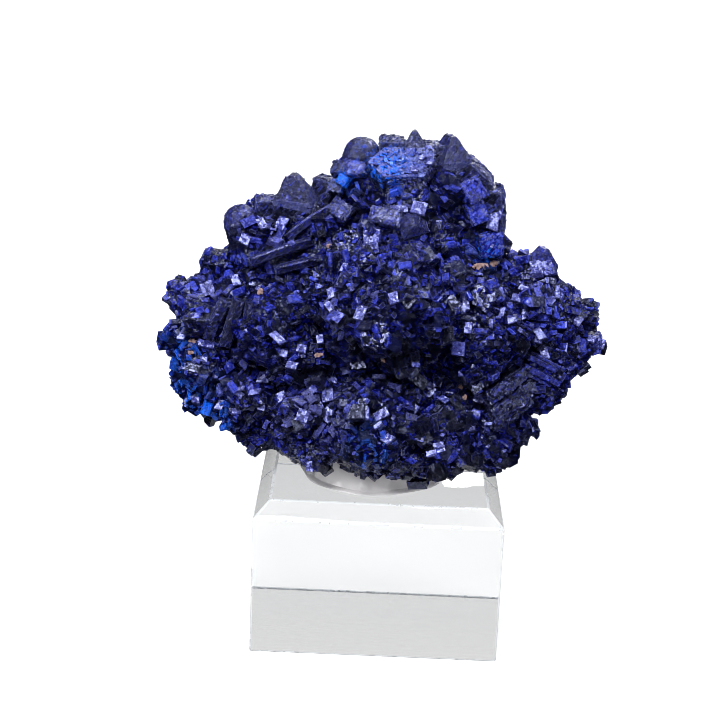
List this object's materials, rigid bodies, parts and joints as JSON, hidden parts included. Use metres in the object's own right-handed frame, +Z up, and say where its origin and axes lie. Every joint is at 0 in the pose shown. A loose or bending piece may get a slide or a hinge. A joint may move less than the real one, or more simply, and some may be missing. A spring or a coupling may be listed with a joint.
{
  "type": "azurite specimen",
  "caption": "Rounded cluster of blocky dark blue azurite crystals, set with clear glue on a bevelled clear acrylic block.",
  "frame": {"origin": "middle of the acrylic block's underside", "axes": "+Z up, out of the block's top; -Y towards the viewer of the picture; +X to that viewer's right"},
  "size_m": [0.0579, 0.036, 0.0658],
  "materials": {
    "azurite": "glassy crystal faces, deep azure blue to near black",
    "glue": "clear set glue with a milky cast, glossy",
    "acrylic": "clear polished acrylic"
  },
  "bodies": {
    "root": {"azurite_cluster": "azurite", "glue_pad": "glue", "acrylic_block": "acrylic"}
  },
  "joints": []
}
